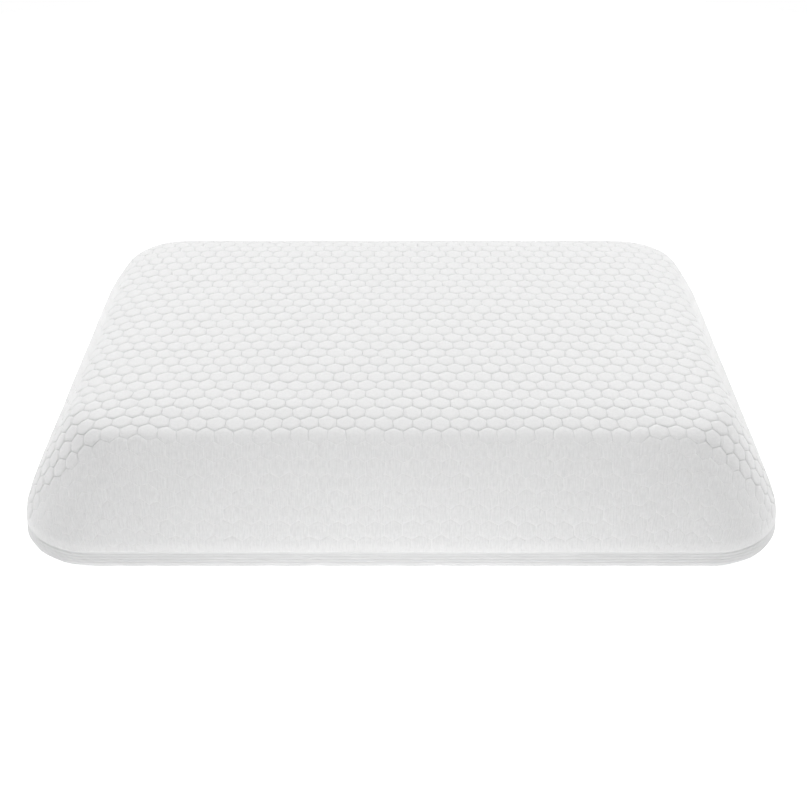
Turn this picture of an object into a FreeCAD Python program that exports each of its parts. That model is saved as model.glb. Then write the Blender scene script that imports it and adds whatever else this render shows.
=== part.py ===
import FreeCAD, Part
import math
import os

# Bed pillow: a moulded foam loaf in an inner liner, inside a two-panel cover with a zip.
# Millimetres. +Z is up, X runs along the long side, the front faces -Y, the zip is in the back.
# The origin is the centre of the foot of the whole object's box.

os.makedirs("parts", exist_ok=True)

# ---- overall size of the loaf ----
LENGTH = 610.0
WIDTH = 418.0

# ---- side profile: inset from the widest outline against height ----
BASE_TUCK = 49.5             # the flat base's edge sits this far in from the outline
WIDEST_Z = 17.5              # height of the widest outline
WALL_INSET = 36.0            # how far the side leans back by the foot of the brow
WALL_TOP_Z = 103.0
WALL_POWER = 1.54            # 1 would be a straight slope, more keeps the foot upright
BROW_RADIUS = 18.0           # the brow is the turn from the side to the top
CROWN_SLOPE = 12.0           # degrees, where the brow runs into the top
CROWN_RUN = 37.0             # from the brow inward to the flat of the top

# ---- outline seen from above ----
PLAN_CORNER = 62.0
CORNER_SHRINK = 0.355        # the corner radius shrinks by this much of the inset
CORNER_MIN = 12.0
END_SPREAD = 1.14            # the short ends slope this much more gently than the long sides

# ---- layers, as depth behind the outer face ----
BOTTOM_PANEL_STEP = 0.8      # the plain bottom panel sits this far behind the quilted one
COVER_DEPTH = 3.6
LINER_DEPTH = 4.2
SEAM_Z = 28.0
SEAM_THICK = 1.0             # overlocked seam allowance, on the inside of the cover
SEAM_HEIGHT = 12.0

# ---- zip, along the straight stretch of the back seam ----
ZIP_LENGTH = 430.0
ZIP_OPENING = 10.0           # gap between the edges of the two panels
CHAIN_LENGTH = 412.0
CHAIN_SLOT = 1.4             # clear slot between the two rows of teeth
CHAIN_THICK = 1.2
TAPE_HEIGHT = 8.0
TAPE_THICK = 0.7
TOOTH_PITCH = 2.0
TOOTH_WIDTH = 1.2
TOOTH_REACH = 1.3
ROOT_HEIGHT = 1.0
STOP_LENGTH = 3.0
STOP_PROUD = 0.2             # the stops are this much thicker than the chain

# ---- zip slider ----
RUN_CLEARANCE = 0.3
SLIDER_LENGTH = 10.0
SLIDER_HEIGHT = 9.0
SLIDER_CORNER = 1.5
PLATE_THICK = 0.9
FLANGE_THICK = 0.7
NECK_LENGTH = 3.0
NECK_THICK = 0.8
END_PLAY = 0.7               # gap left between the slider and a stop

# ---- pull tab, pinned through the slider's crown ----
PIN_RADIUS = 0.5
PIN_CLEARANCE = 0.08
CROWN_RADIUS = 1.3
CROWN_WIDTH = 1.6
KNUCKLE_RADIUS = 0.9
TAB_LENGTH = 24.0
TAB_WIDTH = 6.0
TAB_THICK = 1.0
TAB_FORK = 2.4               # length of the fork's slot, from the pin
TAB_HOLE_RADIUS = 1.5

# Heights above the outer face of the cover in the zip's own frame.
CHAIN_OUT = 0.0
TAPE_OUT = CHAIN_OUT - CHAIN_THICK
TAPE_IN = TAPE_OUT - TAPE_THICK
PLATE_IN = CHAIN_OUT + RUN_CLEARANCE
PLATE_OUT = PLATE_IN + PLATE_THICK
PIN_OUT = PLATE_OUT + CROWN_RADIUS
ROW_INNER = CHAIN_SLOT / 2
ROW_OUTER = ROW_INNER + TOOTH_REACH + ROOT_HEIGHT
SLIDER_REST_X = CHAIN_LENGTH / 2 - END_PLAY - SLIDER_LENGTH / 2


def wall_slope(t):
    """Degrees from level of the side at fraction t of its height."""
    rise = WALL_TOP_Z - WIDEST_Z
    run = WALL_INSET * WALL_POWER * t ** (WALL_POWER - 1)
    return math.degrees(math.atan2(rise, run))


def base_point(t):
    """Rounded edge under the pillow, from the flat base out to the widest outline."""
    angle = t * math.pi / 2
    return BASE_TUCK * (1 - math.sin(angle)), WIDEST_Z * (1 - math.cos(angle))


def wall_point(t):
    """Side, from the widest outline up to the foot of the brow."""
    return WALL_INSET * t ** WALL_POWER, WIDEST_Z + (WALL_TOP_Z - WIDEST_Z) * t


def brow_point(t):
    """Round turn from the side's slope to the crown's slope."""
    start = math.radians(wall_slope(1.0))
    turn = (start - math.radians(CROWN_SLOPE)) * t
    inset = WALL_INSET + BROW_RADIUS * (math.sin(start) - math.sin(start - turn))
    height = WALL_TOP_Z + BROW_RADIUS * (math.cos(start - turn) - math.cos(start))
    return inset, height


def crown_point(t):
    """Top, from the brow to where it is flat."""
    inset, height = brow_point(1.0)
    rise = math.tan(math.radians(CROWN_SLOPE)) * CROWN_RUN
    return inset + CROWN_RUN * t, height + rise * (t - t * t / 2)


def profile(stretch, t):
    """Outer point of the side profile: inset from the outline, and height."""
    return (base_point, wall_point, brow_point, crown_point)[stretch](t)


def normal(stretch, t):
    """Unit outward normal of the side profile as (outward, upward)."""
    step = 0.01
    near = profile(stretch, max(t - step, 0.0))
    far = profile(stretch, min(t + step, 1.0))
    along_in = far[0] - near[0]
    along_up = far[1] - near[1]
    size = math.hypot(along_in, along_up)
    return along_up / size, along_in / size


def outline_wire(half_x, half_y, radius, height):
    """Closed rounded rectangle, level, centred on the Z axis."""
    corners = [(1, 1, 0.0), (-1, 1, 90.0), (-1, -1, 180.0), (1, -1, 270.0)]
    points = []
    for side_x, side_y, start in corners:
        centre_x = side_x * (half_x - radius)
        centre_y = side_y * (half_y - radius)
        for turn in (0.0, 45.0, 90.0):
            angle = math.radians(start + turn)
            points.append(FreeCAD.Vector(centre_x + radius * math.cos(angle),
                                         centre_y + radius * math.sin(angle), height))
    edges = []
    for corner in range(4):
        first, middle, last = points[3 * corner:3 * corner + 3]
        edges.append(Part.Arc(first, middle, last).toShape())
        edges.append(Part.makeLine(last, points[(3 * corner + 3) % len(points)]))
    return Part.Wire(edges)


def stations():
    """Where the loft takes its sections, as (stretch, t) up the profile."""
    base = [(0, t) for t in (0.0, 0.2, 0.4, 0.6, 0.8)]
    wall = [(1, t) for t in (0.0, 0.12, 0.27, 0.42, 0.57, 0.72, 0.87)]
    brow = [(2, t) for t in (0.0, 0.25, 0.5, 0.75)]
    crown = [(3, t) for t in (0.0, 0.33, 0.67, 1.0)]
    return base + wall + brow + crown


def loaf(side_depth, base_depth):
    """Solid loaf whose outer face is set in by side_depth, and its flat base by base_depth."""
    wires = []
    for stretch, t in stations():
        inset, height = profile(stretch, t)
        outward, upward = normal(stretch, t)
        level_depth = base_depth if upward < 0 else side_depth
        half_x = LENGTH / 2 - inset * END_SPREAD - side_depth * outward
        half_y = WIDTH / 2 - inset - side_depth * outward
        radius = max(PLAN_CORNER - CORNER_SHRINK * inset - side_depth, CORNER_MIN)
        wires.append(outline_wire(half_x, half_y, radius, height - level_depth * upward))
    return Part.makeLoft(wires, True, True)


def slab(low, high):
    """Level slice of space big enough to cut the whole loaf."""
    reach = LENGTH
    corner = FreeCAD.Vector(-reach, -reach, low)
    return Part.makeBox(2 * reach, 2 * reach, high - low, corner)


def seam_fraction():
    """How far up the side the seam runs, as a fraction of its height."""
    return (SEAM_Z - WIDEST_Z) / (WALL_TOP_Z - WIDEST_Z)


def to_back(shape):
    """Move a shape from the zip's frame to the back seam.

    In the zip's frame X is along the seam, Y is out of the cover and Z is up the side.
    """
    inset, height = wall_point(seam_fraction())
    lean = 90.0 - wall_slope(seam_fraction())
    placed = shape.copy()
    placed.rotate(FreeCAD.Vector(0, 0, 0), FreeCAD.Vector(1, 0, 0), lean)
    placed.translate(FreeCAD.Vector(0, WIDTH / 2 - inset, height))
    return placed


def box_between(x_low, x_high, y_low, y_high, z_low, z_high):
    """Box from its low corner to its high corner."""
    corner = FreeCAD.Vector(x_low, y_low, z_low)
    return Part.makeBox(x_high - x_low, y_high - y_low, z_high - z_low, corner)


def zip_tape(side):
    """One woven tape: side is 1 above the chain and -1 below it."""
    edges = sorted((side * ROW_INNER, side * (ROW_INNER + TAPE_HEIGHT)))
    return box_between(-ZIP_LENGTH / 2, ZIP_LENGTH / 2, TAPE_IN, TAPE_OUT, *edges)


def tooth_row(side):
    """One row of teeth on its root cord, cut as a comb and given its thickness."""
    root_out = side * ROW_OUTER
    root_in = side * (ROW_OUTER - ROOT_HEIGHT)
    tip = side * ROW_INNER
    offset = 0.0 if side > 0 else TOOTH_PITCH / 2
    count = int((CHAIN_LENGTH - TOOTH_PITCH) / TOOTH_PITCH)
    start = -CHAIN_LENGTH / 2
    points = [(start, root_out), (start, root_in)]
    for index in range(count):
        left = start + offset + index * TOOTH_PITCH + (TOOTH_PITCH - TOOTH_WIDTH) / 2
        right = left + TOOTH_WIDTH
        points += [(left, root_in), (left, tip), (right, tip), (right, root_in)]
    points += [(-start, root_in), (-start, root_out)]
    corners = [FreeCAD.Vector(x, TAPE_OUT, z) for x, z in points]
    face = Part.Face(Part.makePolygon(corners + corners[:1]))
    return face.extrude(FreeCAD.Vector(0, CHAIN_THICK, 0))


def end_stop(x_low, z_low, z_high):
    """Small block on the tape that the slider comes up against."""
    return box_between(x_low, x_low + STOP_LENGTH, TAPE_OUT, CHAIN_OUT + STOP_PROUD + PLATE_IN,
                       z_low, z_high)


def plate(y_low, y_high):
    """Slider plate with its corners rounded."""
    half = SLIDER_LENGTH / 2
    body = box_between(-half, half, y_low, y_high, -SLIDER_HEIGHT / 2, SLIDER_HEIGHT / 2)
    upright = []
    for edge in body.Edges:
        ends = edge.Vertexes
        across = abs(ends[0].Point.y - ends[1].Point.y)
        if across > 0.5 * (y_high - y_low):
            upright.append(edge)
    return body.makeFillet(SLIDER_CORNER, upright)


def zip_slider():
    """Slider: outer plate with flanges and a bored crown, neck, and inner plate."""
    half = SLIDER_LENGTH / 2
    inner_out = TAPE_IN - RUN_CLEARANCE
    body = plate(PLATE_IN, PLATE_OUT)
    body = body.fuse(plate(inner_out - PLATE_THICK, inner_out))
    body = body.fuse(box_between(-NECK_LENGTH / 2, NECK_LENGTH / 2, inner_out, PLATE_IN,
                                 -NECK_THICK / 2, NECK_THICK / 2))
    flange_in = ROW_OUTER + RUN_CLEARANCE
    for side in (1, -1):
        edges = sorted((side * flange_in, side * (flange_in + FLANGE_THICK)))
        body = body.fuse(box_between(-half + SLIDER_CORNER, half - SLIDER_CORNER,
                                     TAPE_OUT + RUN_CLEARANCE, PLATE_IN, *edges))
    up = FreeCAD.Vector(0, 0, 1)
    pin_foot = FreeCAD.Vector(0, PIN_OUT, -CROWN_WIDTH / 2)
    crown = Part.makeCylinder(CROWN_RADIUS, CROWN_WIDTH, pin_foot, up)
    crown = crown.fuse(box_between(-CROWN_RADIUS, CROWN_RADIUS, PLATE_OUT, PIN_OUT,
                                   -CROWN_WIDTH / 2, CROWN_WIDTH / 2))
    bore = Part.makeCylinder(PIN_RADIUS + PIN_CLEARANCE, CROWN_WIDTH, pin_foot, up)
    return body.fuse(crown).cut(bore).removeSplitter()


def pull_tab():
    """Pull tab lying along the chain: fork, pin and a holed grip."""
    up = FreeCAD.Vector(0, 0, 1)
    out = FreeCAD.Vector(0, 1, 0)
    low = PIN_OUT - TAB_THICK / 2
    high = PIN_OUT + TAB_THICK / 2
    half = TAB_WIDTH / 2
    arm_in = CROWN_WIDTH / 2 + RUN_CLEARANCE
    body = box_between(-TAB_LENGTH + half, 0, low, high, -half, half)
    tip = FreeCAD.Vector(-TAB_LENGTH + half, low, 0)
    body = body.fuse(Part.makeCylinder(half, TAB_THICK, tip, out))
    body = body.fuse(Part.makeCylinder(KNUCKLE_RADIUS, TAB_WIDTH,
                                       FreeCAD.Vector(0, PIN_OUT, -half), up))
    body = body.cut(box_between(-TAB_FORK, 2 * KNUCKLE_RADIUS, PIN_OUT - 2 * KNUCKLE_RADIUS,
                                PIN_OUT + 2 * KNUCKLE_RADIUS, -arm_in, arm_in))
    body = body.fuse(Part.makeCylinder(PIN_RADIUS, 2 * arm_in,
                                       FreeCAD.Vector(0, PIN_OUT, -arm_in), up))
    return body.cut(Part.makeCylinder(TAB_HOLE_RADIUS, TAB_THICK, tip, out)).removeSplitter()


def seam_ring():
    """Overlocked seam allowance that runs round inside the cover, but not behind the zip."""
    behind = COVER_DEPTH - SEAM_THICK
    ring = loaf(behind, behind).cut(loaf(COVER_DEPTH, COVER_DEPTH))
    ring = ring.common(slab(SEAM_Z - SEAM_HEIGHT / 2, SEAM_Z + SEAM_HEIGHT / 2))
    half = ZIP_LENGTH / 2
    behind_zip = box_between(-half, half, -4 * COVER_DEPTH, COVER_DEPTH, -SEAM_HEIGHT, SEAM_HEIGHT)
    return ring.cut(to_back(behind_zip))


def cover_panel(outer, low, high, ring):
    """Cover panel between two heights, cleared for the seam, the zip's tapes and its opening."""
    shell = outer.cut(loaf(COVER_DEPTH, COVER_DEPTH)).common(slab(low, high)).cut(ring)
    half = ZIP_LENGTH / 2
    opening = box_between(-half, half, -2 * COVER_DEPTH, COVER_DEPTH,
                          -ZIP_OPENING / 2, ZIP_OPENING / 2)
    shell = shell.cut(to_back(opening))
    for side in (1, -1):
        shell = shell.cut(to_back(zip_tape(side)))
    return shell


def pull_reach():
    """How far the pull tab's knuckle stands out past the widest outline at the back."""
    inset = wall_point(seam_fraction())[0]
    lean = math.radians(90.0 - wall_slope(seam_fraction()))
    out_of_seam = PIN_OUT * math.cos(lean) + TAB_WIDTH / 2 * math.sin(lean) + KNUCKLE_RADIUS
    return out_of_seam - inset


def build_nodes():
    """Every piece by name, in place round the loaf's own centre."""
    ring = seam_ring()
    above = 2 * WALL_TOP_Z
    nodes = {
        "foam_core": loaf(LINER_DEPTH, LINER_DEPTH),
        "inner_liner": loaf(COVER_DEPTH, COVER_DEPTH).cut(loaf(LINER_DEPTH, LINER_DEPTH)),
        "cover_top_panel": cover_panel(loaf(0.0, 0.0), SEAM_Z, above, ring),
        "cover_bottom_panel": cover_panel(loaf(BOTTOM_PANEL_STEP, 0.0), -1.0, SEAM_Z, ring),
        "seam_overlock": ring,
    }
    for name, side in (("upper", 1), ("lower", -1)):
        nodes["zip_tape_" + name] = to_back(zip_tape(side))
        nodes["zip_teeth_" + name] = to_back(tooth_row(side))
        edges = sorted((side * ROW_INNER, side * ROW_OUTER))
        nodes["zip_top_stop_" + name] = to_back(end_stop(CHAIN_LENGTH / 2, *edges))
    bottom_stop = end_stop(-CHAIN_LENGTH / 2 - STOP_LENGTH, -ROW_OUTER, ROW_OUTER)
    nodes["zip_bottom_stop"] = to_back(bottom_stop)
    rest = FreeCAD.Vector(SLIDER_REST_X, 0, 0)
    for name, shape in (("zip_slider", zip_slider()), ("zip_pull_tab", pull_tab())):
        shape.translate(rest)
        nodes[name] = to_back(shape)
    return nodes


def write_parts():
    """Centre the box: set all forward by half of what stands out behind, then write the pieces.

    The foremost face is the bottom panel's, which is stepped back from the outline.
    """
    forward = FreeCAD.Vector(0, -(pull_reach() + BOTTOM_PANEL_STEP) / 2, 0)
    for name, shape in build_nodes().items():
        shape.translate(forward)
        shape.exportStep("parts/" + name + ".step")


write_parts()
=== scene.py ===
import math

import bpy
import numpy as np
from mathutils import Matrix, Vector


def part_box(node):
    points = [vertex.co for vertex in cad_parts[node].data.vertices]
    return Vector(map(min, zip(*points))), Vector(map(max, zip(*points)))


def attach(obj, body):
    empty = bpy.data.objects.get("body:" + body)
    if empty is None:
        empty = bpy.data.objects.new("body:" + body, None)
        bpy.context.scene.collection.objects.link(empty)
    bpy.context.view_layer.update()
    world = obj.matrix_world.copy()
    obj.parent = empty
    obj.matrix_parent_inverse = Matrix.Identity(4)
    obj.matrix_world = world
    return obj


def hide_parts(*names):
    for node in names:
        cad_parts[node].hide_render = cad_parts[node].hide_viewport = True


# Bed pillow: a foam loaf in a jersey liner, inside a cover with a quilted honeycomb top panel,
# a plain ribbed bottom panel, an overlocked seam between them and a zip along the back.
# Metres, in the frame of the CAD model: X along the long side, -Y the front, Z up.

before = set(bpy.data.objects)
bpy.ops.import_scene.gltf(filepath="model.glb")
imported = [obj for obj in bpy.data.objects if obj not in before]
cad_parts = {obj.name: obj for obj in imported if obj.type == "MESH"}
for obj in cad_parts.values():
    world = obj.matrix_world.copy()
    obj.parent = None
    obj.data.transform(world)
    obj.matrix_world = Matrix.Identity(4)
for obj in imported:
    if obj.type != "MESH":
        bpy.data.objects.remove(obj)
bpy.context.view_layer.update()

# ---- outline of the loaf, from the CAD model's own boxes ----
PANEL_STEP = 0.0008           # the bottom panel sits this far behind the top panel's face
panel_low, panel_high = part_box("cover_bottom_panel")
HALF_LENGTH = (panel_high.x - panel_low.x) / 2 + PANEL_STEP
HALF_WIDTH = (panel_high.y - panel_low.y) / 2 + PANEL_STEP
CENTRE_Y = (panel_high.y + panel_low.y) / 2
SEAM_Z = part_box("cover_top_panel")[0].z + 0.0001

# ---- side profile, as in the CAD model: inset from the widest outline against height ----
BASE_TUCK = 0.0495
WIDEST_Z = 0.0175
WALL_INSET = 0.036
WALL_TOP_Z = 0.103
WALL_POWER = 1.54
BROW_RADIUS = 0.018
CROWN_SLOPE = math.radians(12)
CROWN_RUN = 0.037
END_SPREAD = 1.14             # the short ends slope this much more gently
PLAN_CORNER = 0.062
CORNER_SHRINK = 0.355
CORNER_MIN = 0.012
WIDE_SPREAD = 1.4             # a slope gentler than any on the pillow, to interpolate towards
TOP_DOME = 0.0012             # the foam's slight rise in the middle of the top
REACH_PASSES = 8              # passes that turn a distance on the flat cloth into a reach

# ---- honeycomb quilting of the top panel ----
CELL_PITCH = 0.01411
CELL_RADIUS = CELL_PITCH / math.sqrt(3)
ROW_PITCH = 1.5 * CELL_RADIUS
FIRST_ROW = -0.1307           # a row's centre line and a column's, from the loaf's centre
FIRST_COLUMN = 0.0015
FAN = 0.14                    # per metre: the columns spread towards the front
CELL_HEIGHT = 0.00110         # how far a cell puffs out on the top
WALL_SHARE = 0.30             # the same on the long sides, as a share
TAUT_BLEND = 0.011            # the flattening comes in over this length
TAUT_FROM = 0.75              # it dips down from this share of the way round the corner,
TAUT_DIP = 0.77               # by this much times the share left, to the power
TAUT_POWER = 2.2
CELL_SIDES = 12               # points round each of its rings: six corners, six side middles
CELL_VARIES = 0.12            # cells differ in height by this share either way
CELL_DRAW = 11                # seed of the draw of those heights
CELL_WANDER = ((0.0009, 0.110), (0.0007, 0.024))   # how far the knit strays, and over what length
WANDER_SHIFT = (0.31, -0.17)  # keeps the two directions' straying apart
# rings of a cell from its edge inward: share of the radius, share of the height, roundness
CELL_RINGS = ((1.0, 0.0, 0.0), (0.955, 0.55, 0.15), (0.86, 0.92, 0.40), (0.52, 1.0, 0.80))

PLAIN_SHADE = 0.65            # tone of a cell, from 0 dark to 1 light, and the change in grooves: painted shade on the top and ends, painted light on the long sides
# painted shade in the grooves: deepest on the top, less on the ends
TOP_GROOVE_PAINTED_SHADE = -0.36
END_GROOVE_PAINTED_SHADE = -0.22
WALL_GROOVE_PAINTED_LIGHT = 0.38            # on the long sides: painted light in the grooves
END_BLEND = 0.030             # over this length about the brow the first becomes the second
GROOVE_SHARE = 0.4            # grooves, which get the painted shade and light, are where the cell is lower than this share
HEM_PAINTED_LIGHT = 0.16              # painted light: the plain hem is drawn this much lighter

# ---- seam ----
QUILT_FADE = 0.007            # the quilting dies away this near to the seam
HEM_BULGE = 0.0003
HEM_WIDTH = 0.006
# the quilted panel's edge rolled under, as steps of reach past the seam and lift off the surface
HEM_ROLL = ((0.0004, -0.0002), (0.0006, -0.0006), (0.0002, -0.0011), (-0.0012, -0.0016))
TUCK_DEPTH = -0.0006          # pinch of the bottom panel under the hem: below 0 it fills out
TUCK_HEIGHT = 0.0035          # the height it takes
TUCK_CORNER = 0.0006          # the same two at the corners
TUCK_TALL = 0.0060
CORNER_POWER = 8              # how closely that keeps to the corners
FIRST_TUCK = (-0.0015, -0.0010)        # its first ring: reach from the seam, and lift, behind the hem

# ---- bottom panel, by distance down the side from the seam ----
STEP_FROM = 0.016             # its step behind the top panel's face fades from here on,
STEP_BLEND = 0.030            # over this length
RIB_PITCH = 0.0026
RIB_HEIGHT = 0.00018
RIBS_FROM = 0.035             # the ribs and waves fade from here on,
RIBS_BLEND = 0.020            # over this length
WAVES_BLEND = 0.006           # the waves come in over this length below the seam
STRIP_HEIGHT = 0.036          # the ribs are meshed finely down to here
STRIP_SHARE = 6               # rings in each rib
BOTTOM_RINGS = 18             # rings from there to the flat base
BOTTOM_STEP = 0.0055          # spacing of the points along a ring
BASE_RINGS = (0.85, 0.7, 0.55, 0.4, 0.25, 0.12)   # rings across the flat base, as shares of its size
FOOT_GAP = 0.00025            # the lowest the cloth comes, just clear of the floor

# ---- zip, in its own frame: along the seam, out of the cover, up the side ----
ZIP_HALF = 0.215
OPENING_HALF = 0.005
OPENING_RAMP = 0.009          # the opening closes over this length,
OPENING_OVERRUN = 0.0036      # the last part of it past the zip's end
OPENING_EASE = 0.022          # the cloth drawn back from it eases out over this width
TAPE_WIDTH = 0.0080
TAPE_INNER = 0.0008
TAPE_FACE = -0.00122
TAPE_THICK = 0.00064
TAPE_RIB = 0.0010
TAPE_RIB_HEIGHT = 0.00003
TAPE_TRIM = 0.004             # each edge is this share narrower than the CAD tape,
TAPE_ROUND = 0.00006          # and rounded by this much
TAPE_FACE_POINTS = (0.0, 0.15, 0.5, 0.85, 1.0)    # points of its section, as shares of the width
TAPE_BACK_POINTS = (1.0, 0.5, 0.0)
COIL_HALF = 0.206
COIL_MARGIN = 0.001           # the coil stops this far inside the CAD row's ends
COIL_PITCH = 0.0014
COIL_POINTS = 14              # in one turn
COIL_THREAD = 0.00026
COIL_INNER = 0.00044          # from the chain's middle line
COIL_OUTER = 0.0030
COIL_DEPTH = 0.0006           # half of its thickness, out of the cover
COIL_CLEAR = 0.00002
STITCH_PITCH = 0.0027
STITCH_LENGTH = 0.0019
STITCH_POINTS = 6
STITCH_THREAD = 0.00022
STITCH_RISE = 0.0005          # a stitch arches up by this much from this far under the face
STITCH_SUNK = 0.0002
STITCH_INSET = 0.0018         # from the opening's edge
STITCHED_SHARE = 0.8          # the hem's bulge there, as a share of its full one
STITCH_MARGIN = (0.003, 0.005)         # the rows start and end this far inside the zip
THREAD_SIDES = 6
ASKEW = (0.31, 0.53, 0.79)    # a direction that no thread runs along

# ---- inner layers, as depth behind the cover's outer face ----
LINER_FACE = 0.00365
LINER_BACK = 0.00415
FOAM_FACE = 0.00430
INNER_STEP = 0.006            # spacing of their points along the sides
INNER_FIRST = 0.004           # reach of their first ring
INNER_FLAT_RINGS = 5
INNER_SIDE_RINGS = 60

# ---- seam allowance inside the cover, and the thread wound over it ----
SEAM_FACE = 0.00280
SEAM_BACK = 0.00335
SEAM_HALF = 0.0055
SEAM_SIDES = 12
SEAM_STEP = 0.004
SEAM_CLEAR = 0.001            # it stops this far short of the zip
OVERLOCK_PITCH = 0.0028
OVERLOCK_THREAD = 0.00014
OVERLOCK_SIDES = 5
OVERLOCK_POINTS = 8           # in one loop
OVERLOCK_WIDER = 0.0003       # the loops pass this far outside the allowance's edges,
OVERLOCK_PROUD = 0.0001       # and this far off its faces

# ---- unevenness of the cloth: how far it stands off, and over what length ----
QUILT_WAVES = (0.0003, 0.085)
HEM_WAVES = (0.00018, 0.021)
BOTTOM_WAVES = (0.00035, 0.034)
SEAM_WAVES = (0.00008, 0.012)

# ---- camera, floor and lights ----
CAMERA_PITCH = math.radians(33.76)
CAMERA_BACK = 0.9329          # from the loaf's centre, level
CAMERA_HEIGHT = 0.6509
CAMERA_ASIDE = 0.0018
CAMERA_LENS = 54.75           # on a 36 mm sensor

FLOOR_GLOW = 0.49
FLOOR_RADIUS = 1.5
FLOOR_SIDES = 96
# name, place from the middle of the pillow's foot, width and height, watts
LIGHTS = (
    ("overhead", (0.0, 0.1, 1.6), (2.2, 1.8), 9.8),
    ("overhead_wide", (0.0, 0.0, 1.6), (4.0, 4.0), 20.0),
    ("left", (-1.4, 0.1, 1.2), (1.6, 1.0), 11.0),
    ("right", (1.4, 0.1, 1.2), (1.6, 1.0), 11.0),
    ("back_left", (-1.4, 1.0, 0.6), (1.2, 0.9), 7.0),
    ("back_right", (1.4, 1.0, 0.6), (1.2, 0.9), 7.0),
    ("front_near", (0.0, -0.55, 0.06), (0.35, 0.10), 0.37),
)


# ============ shape of the loaf ============

def wall_slope(t):
    """Angle from level of the side at fraction t of its height."""
    rise = WALL_TOP_Z - WIDEST_Z
    return math.atan2(rise, WALL_INSET * WALL_POWER * t ** (WALL_POWER - 1))


def wall_point(t):
    """Side, from the widest outline up to the foot of the brow, as inset and height."""
    return WALL_INSET * t ** WALL_POWER, WIDEST_Z + (WALL_TOP_Z - WIDEST_Z) * t


def brow_point(t):
    """Round turn from the side's slope to the crown's slope."""
    start = wall_slope(1.0)
    turn = (start - CROWN_SLOPE) * t
    inset = WALL_INSET + BROW_RADIUS * (math.sin(start) - math.sin(start - turn))
    return inset, WALL_TOP_Z + BROW_RADIUS * (math.cos(start - turn) - math.cos(start))


def crown_point(t):
    """Top, from the brow to where it is flat."""
    inset, height = brow_point(1.0)
    return inset + CROWN_RUN * t, height + math.tan(CROWN_SLOPE) * CROWN_RUN * (t - t * t / 2)


def base_point(t):
    """Rounded edge under the pillow, from the widest outline in to the flat base."""
    angle = t * math.pi / 2
    return BASE_TUCK * (1 - math.cos(angle)), WIDEST_Z * (1 - math.sin(angle))


def profile_table(samples=400):
    """Profile from the flat of the top down to the flat base.

    Columns of arc length, inset, height, the normal's outward and upward parts, and the arc length
    of a profile that slopes WIDE_SPREAD times as gently.
    """
    steps = np.linspace(0, 1, samples)
    points = [crown_point(1 - t) for t in steps]
    points += [brow_point(1 - t) for t in steps[1:]]
    points += [wall_point(1 - t) for t in steps[1:]]
    points += [base_point(t) for t in steps[1:]]
    inset, height = np.array(points).T
    steps = np.hypot(np.diff(inset), np.diff(height))
    arc = np.concatenate([[0], np.cumsum(steps)])
    outward = -np.gradient(height, arc)
    upward = -np.gradient(inset, arc)
    wide_steps = np.hypot(WIDE_SPREAD * np.diff(inset), np.diff(height))
    wide_arc = np.concatenate([[0], np.cumsum(wide_steps)])
    return np.array([arc, inset, height, outward, upward, wide_arc])


PROFILE = profile_table()
FLAT_INSET = PROFILE[1][0]
FLAT_CORNER = max(PLAN_CORNER - CORNER_SHRINK * FLAT_INSET, CORNER_MIN)
CORE_X = HALF_LENGTH - END_SPREAD * FLAT_INSET - FLAT_CORNER
CORE_Y = HALF_WIDTH - FLAT_INSET - FLAT_CORNER
SEAM_FRACTION = (SEAM_Z - WIDEST_Z) / (WALL_TOP_Z - WIDEST_Z)
SEAM_LEAN = math.pi / 2 - wall_slope(SEAM_FRACTION)
SEAM_ARC = float(np.interp(-SEAM_Z, -PROFILE[2], PROFILE[0]))
SEAM_REACH = FLAT_CORNER + SEAM_ARC
BROW_ARC = float(np.interp(-brow_point(0.5)[1], -PROFILE[2], PROFILE[0]))
BASE_ARC = float(PROFILE[0][-1])


def smooth(value):
    """0 below 0, 1 above 1, and an even ramp between."""
    value = np.clip(value, 0, 1)
    return value * value * (3 - 2 * value)


def flat_distance(reach, turn):
    """Distance on the flat cloth at which that reach of the long sides comes in another direction.

    The ends and corners slope more gently than the long sides, so they take more cloth.
    """
    spread = (END_SPREAD - CORNER_SHRINK) * np.cos(turn) + (1 - CORNER_SHRINK) * np.sin(turn)
    spread += CORNER_SHRINK
    arc = np.maximum(reach - FLAT_CORNER, 0)
    wide = np.interp(arc, PROFILE[0], PROFILE[5])
    return reach + (spread - 1) / (WIDE_SPREAD - 1) * (wide - arc)


def reach_of(u, v):
    """Distance of the flat cloth's points from the core rectangle, and the direction away from it.

    The distance is given as that on the long sides, so the seam is at one reach all round.
    """
    over_u = np.abs(u) - CORE_X
    over_v = np.abs(v) - CORE_Y
    corner = (over_u > 0) & (over_v > 0)
    distance = np.where(corner, np.hypot(over_u, over_v), np.maximum(over_u, over_v))
    turn = np.where(corner, np.arctan2(over_v, over_u), np.where(over_u > over_v, 0, math.pi / 2))
    reach = np.minimum(distance, FLAT_CORNER + BASE_ARC)
    for _ in range(REACH_PASSES):
        reach = reach + distance - flat_distance(reach, turn)
    return reach, turn


def outward(u, v):
    """Unit direction of the flat cloth away from the core rectangle."""
    turn = reach_of(u, v)[1]
    return np.cos(turn) * np.sign(u), np.sin(turn) * np.sign(v)


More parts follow.
